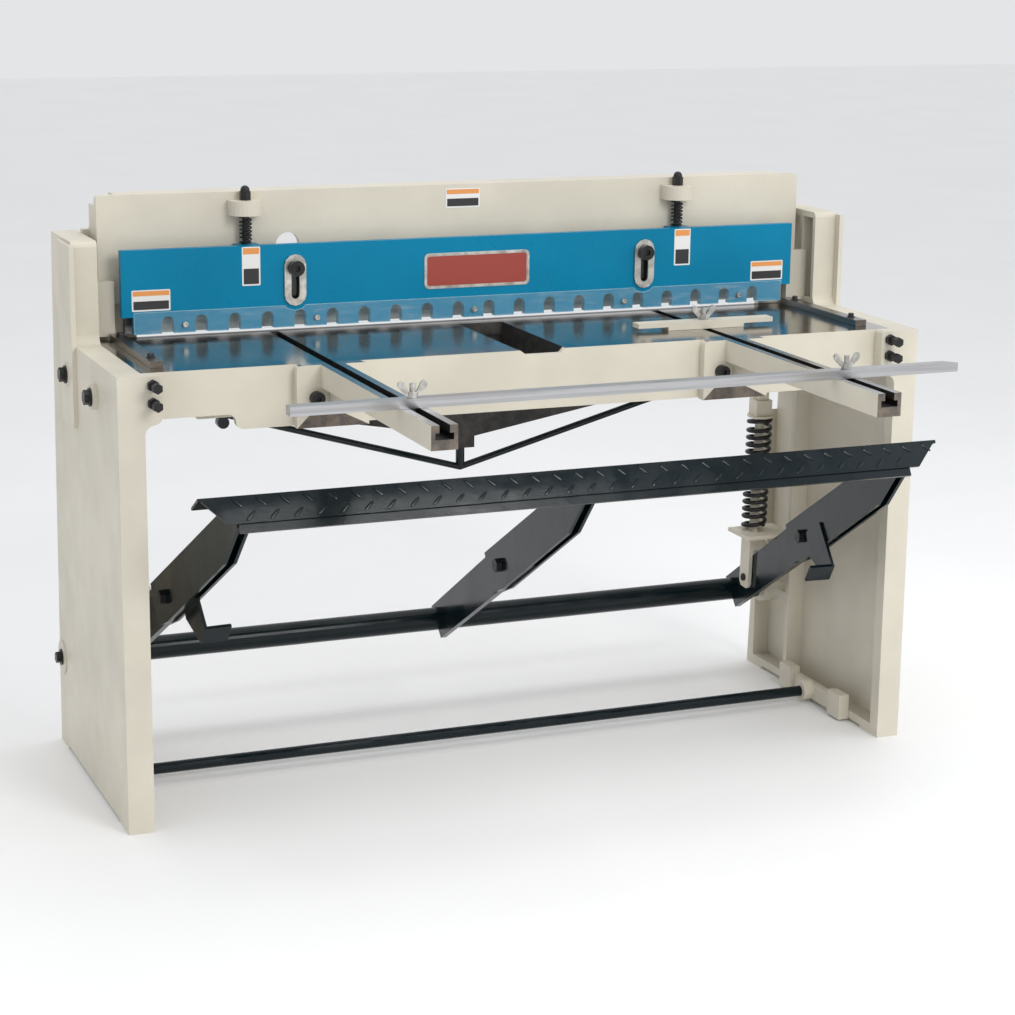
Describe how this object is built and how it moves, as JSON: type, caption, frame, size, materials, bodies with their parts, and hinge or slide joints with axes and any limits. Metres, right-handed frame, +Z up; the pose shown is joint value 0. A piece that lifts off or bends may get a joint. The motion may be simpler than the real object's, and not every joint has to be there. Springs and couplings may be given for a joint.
{
  "type": "foot-operated squaring shear",
  "caption": "Floor-standing treadle shear for sheet metal: slotted table, raked blade on a sliding crosshead, spring-loaded hold-down, gauge arms and finger guard.",
  "frame": {"origin": "on the floor, under the middle of the machine's bounding box", "axes": "+X to the operator's right along the blade, +Y to the back, away from the operator, +Z up"},
  "size_m": [1.6466, 1.13, 1.1223],
  "materials": {
    "cream_paint": "semi-gloss cream paint over castings",
    "blue_paint": "semi-gloss blue paint",
    "black_paint": "satin black-green paint",
    "ground_steel": "ground",
    "black_oxide": "black oxide, lightly oiled",
    "zinc": "zinc plated",
    "clear_acrylic": "clear acrylic sheet"
  },
  "bodies": {
    "frame": {"side_frame_left": "cream_paint", "side_frame_right": "cream_paint", "rear_guide_left": "cream_paint", "rear_guide_right": "cream_paint", "table_bolt_left_1": "black_oxide", "table_bolt_left_2": "black_oxide", "table_bolt_right_1": "black_oxide", "table_bolt_right_2": "black_oxide", "table_screw_left_1": "black_oxide", "table_screw_left_2": "black_oxide", "table_screw_right_1": "black_oxide", "table_screw_right_2": "black_oxide", "pivot_bolt_left": "black_oxide", "pivot_bolt_right": "black_oxide", "tie_rod": "black_paint", "tie_bar_left": "cream_paint", "tie_bar_right": "cream_paint", "table": "cream_paint", "lower_blade": "ground_steel", "truss_rod": "black_paint", "gauge_arm_left": "cream_paint", "gauge_arm_right": "cream_paint", "side_gauge_left": "ground_steel", "side_gauge_right": "ground_steel", "spring_bracket_left": "cream_paint", "spring_bracket_right": "cream_paint", "return_spring_left": "black_oxide", "return_spring_right": "black_oxide"},
    "treadle": {"torsion_tube": "black_paint", "tread": "black_paint", "upper_arm_middle": "black_paint", "arm_bolt_middle": "black_oxide", "upper_arm_left": "black_paint", "upper_arm_right": "black_paint", "arm_bolt_left": "black_oxide", "arm_bolt_right": "black_oxide"},
    "crosshead": {"crosshead": "cream_paint", "upper_blade": "ground_steel", "shoulder_bolt_left": "black_oxide", "shoulder_bolt_right": "black_oxide", "hold_down_spring_left": "black_oxide", "hold_down_spring_right": "black_oxide"},
    "pull_rod_left": {"pull_rod_left": "cream_paint", "clevis_left": "cream_paint"},
    "pull_rod_right": {"pull_rod_right": "cream_paint", "clevis_right": "cream_paint"},
    "hold_down": {"hold_down_bar": "blue_paint", "finger_guard": "clear_acrylic", "keeper_plate_left": "zinc", "keeper_plate_right": "zinc", "guide_rod_left": "black_oxide", "guide_rod_right": "black_oxide"},
    "front_gauge": {"front_gauge_bar": "ground_steel", "gauge_stud_left": "black_oxide", "gauge_stud_right": "black_oxide"},
    "gauge_wing_nut_left": {"gauge_wing_nut_left": "zinc"},
    "gauge_wing_nut_right": {"gauge_wing_nut_right": "zinc"},
    "short_gauge": {"short_gauge": "cream_paint", "short_gauge_stud": "black_oxide"},
    "short_gauge_wing_nut": {"short_gauge_wing_nut": "zinc"}
  },
  "joints": [
    {"name": "treadle", "type": "hinge", "parent": "frame", "child": "treadle", "pos_m": [0, 0.523, 0.184], "axis": [1, 0, 0], "range_deg": [0, 22], "stiffness_Nm_per_rad": 120, "springref_deg": -91.67},
    {"name": "crosshead", "type": "slide", "parent": "frame", "child": "crosshead", "axis": [0, 0, -1], "range_m": [0, 0.0335], "stiffness_N_per_m": 20000, "springref_m": -0.11, "deforming": ["return_spring_left", "return_spring_right"]},
    {"name": "hold_down", "type": "slide", "parent": "crosshead", "child": "hold_down", "axis": [0, 0, 1], "range_m": [0, 0.023], "stiffness_N_per_m": 3000, "springref_m": -0.03, "deforming": ["hold_down_spring_left", "hold_down_spring_right"]},
    {"name": "pull_rod_left", "type": "hinge", "parent": "crosshead", "child": "pull_rod_left", "pos_m": [-0.6893, 0.423, 0.672], "axis": [1, 0, 0], "range_deg": [-1.7, 0]},
    {"name": "pull_rod_right", "type": "hinge", "parent": "crosshead", "child": "pull_rod_right", "pos_m": [0.6893, 0.423, 0.672], "axis": [1, 0, 0], "range_deg": [-1.7, 0]},
    {"name": "front_gauge_slide", "type": "slide", "parent": "frame", "child": "front_gauge", "axis": [0, 1, 0], "range_m": [-0.12, 0.39]},
    {"name": "short_gauge_slide", "type": "slide", "parent": "frame", "child": "short_gauge", "axis": [0, 1, 0], "range_m": [-0.09, 0.15]},
    {"name": "short_gauge_nut_turn", "type": "hinge", "parent": "short_gauge", "child": "short_gauge_wing_nut", "pos_m": [0.405, 0.1455, 0.87], "axis": [0, 0, 1], "continuous": true},
    {"name": "gauge_nut_left_turn", "type": "hinge", "parent": "front_gauge", "child": "gauge_wing_nut_left", "pos_m": [-0.405, -0.415, 0.87], "axis": [0, 0, 1], "continuous": true},
    {"name": "gauge_nut_right_turn", "type": "hinge", "parent": "front_gauge", "child": "gauge_wing_nut_right", "pos_m": [0.405, -0.415, 0.87], "axis": [0, 0, 1], "continuous": true}
  ],
  "couplings": [
    {"joint": "crosshead", "follows": "treadle", "m_per_rad": 0.0861},
    {"joint": "hold_down", "follows": "treadle", "m_per_rad": 0.0589},
    {"joint": "pull_rod_left", "follows": "treadle", "ratio": -0.072},
    {"joint": "pull_rod_right", "follows": "treadle", "ratio": -0.072}
  ]
}
